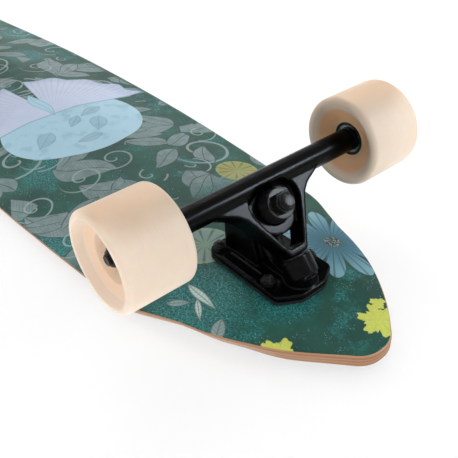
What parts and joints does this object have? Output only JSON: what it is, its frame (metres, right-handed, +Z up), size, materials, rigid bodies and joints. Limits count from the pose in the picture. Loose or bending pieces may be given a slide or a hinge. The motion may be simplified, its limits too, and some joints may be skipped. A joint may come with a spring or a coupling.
{
  "type": "skateboard",
  "caption": "Longboard: concave pointed-end wooden deck with a printed underside, reverse-kingpin trucks and wide soft wheels on ball bearings.",
  "frame": {"origin": "on the ground, below the middle of the board", "axes": "+X along the board towards its rear truck, +Y across it to the left, +Z up"},
  "size_m": [1.01, 0.2624, 0.1255],
  "materials": {
    "printed_ply": "satin",
    "maple": "satin",
    "grip": "matte",
    "black_casting": "satin",
    "black_steel": "satin",
    "bright_steel": "satin",
    "black_rubber": "matte",
    "bushing": "satin",
    "urethane": "satin",
    "core_plastic": "matte"
  },
  "bodies": {
    "board": {"deck_bottom_ply": "printed_ply", "deck_core_plies": "maple", "deck_top_ply": "maple", "grip_tape": "grip", "riser_pad_rear": "black_rubber", "baseplate_rear": "black_casting", "pivot_cup_rear": "black_rubber", "kingpin_rear": "black_steel", "kingpin_nut_rear": "black_steel", "bushing_lower_rear": "bushing", "bushing_upper_rear": "bushing", "cup_washer_lower_rear": "black_steel", "cup_washer_upper_rear": "black_steel", "mounting_bolts_rear": "black_steel", "mounting_nuts_rear": "black_steel", "riser_pad_front": "black_rubber", "baseplate_front": "black_casting", "pivot_cup_front": "black_rubber", "kingpin_front": "black_steel", "kingpin_nut_front": "black_steel", "bushing_lower_front": "bushing", "bushing_upper_front": "bushing", "cup_washer_lower_front": "black_steel", "cup_washer_upper_front": "black_steel", "mounting_bolts_front": "black_steel", "mounting_nuts_front": "black_steel"},
    "truck_rear": {"hanger_rear": "black_casting", "axle_rear": "bright_steel", "speed_washers_rear": "bright_steel", "bearing_spacers_rear": "bright_steel", "bearing_inner_races_rear": "bright_steel", "axle_nuts_rear": "bright_steel"},
    "rolling_wheel_rear_left": {"wheel_rear_left": "urethane", "wheel_core_rear_left": "core_plastic", "bearing_outer_races_rear_left": "bright_steel", "bearing_balls_rear_left": "bright_steel", "bearing_shields_rear_left": "black_rubber"},
    "rolling_wheel_rear_right": {"wheel_rear_right": "urethane", "wheel_core_rear_right": "core_plastic", "bearing_outer_races_rear_right": "bright_steel", "bearing_balls_rear_right": "bright_steel", "bearing_shields_rear_right": "black_rubber"},
    "truck_front": {"hanger_front": "black_casting", "axle_front": "bright_steel", "speed_washers_front": "bright_steel", "bearing_spacers_front": "bright_steel", "bearing_inner_races_front": "bright_steel", "axle_nuts_front": "bright_steel"},
    "rolling_wheel_front_left": {"wheel_front_left": "urethane", "wheel_core_front_left": "core_plastic", "bearing_outer_races_front_left": "bright_steel", "bearing_balls_front_left": "bright_steel", "bearing_shields_front_left": "black_rubber"},
    "rolling_wheel_front_right": {"wheel_front_right": "urethane", "wheel_core_front_right": "core_plastic", "bearing_outer_races_front_right": "bright_steel", "bearing_balls_front_right": "bright_steel", "bearing_shields_front_right": "black_rubber"}
  },
  "joints": [
    {"name": "steer_rear", "type": "hinge", "parent": "board", "child": "truck_rear", "pos_m": [0.3857, 0, 0.03693], "axis": [0.6428, 0, 0.766], "range_deg": [-15, 15], "stiffness_Nm_per_rad": 60, "deforming": ["bushing_lower_rear", "bushing_upper_rear"]},
    {"name": "steer_front", "type": "hinge", "parent": "board", "child": "truck_front", "pos_m": [-0.3857, 0, 0.03693], "axis": [-0.6428, 0, 0.766], "range_deg": [-15, 15], "stiffness_Nm_per_rad": 60, "deforming": ["bushing_lower_front", "bushing_upper_front"]},
    {"name": "spin_rear_left", "type": "hinge", "parent": "truck_rear", "child": "rolling_wheel_rear_left", "pos_m": [0.388, 0.106, 0.035], "axis": [0, 1, 0], "continuous": true},
    {"name": "spin_rear_right", "type": "hinge", "parent": "truck_rear", "child": "rolling_wheel_rear_right", "pos_m": [0.388, -0.106, 0.035], "axis": [0, 1, 0], "continuous": true},
    {"name": "spin_front_left", "type": "hinge", "parent": "truck_front", "child": "rolling_wheel_front_left", "pos_m": [-0.388, 0.106, 0.035], "axis": [0, 1, 0], "continuous": true},
    {"name": "spin_front_right", "type": "hinge", "parent": "truck_front", "child": "rolling_wheel_front_right", "pos_m": [-0.388, -0.106, 0.035], "axis": [0, 1, 0], "continuous": true}
  ]
}
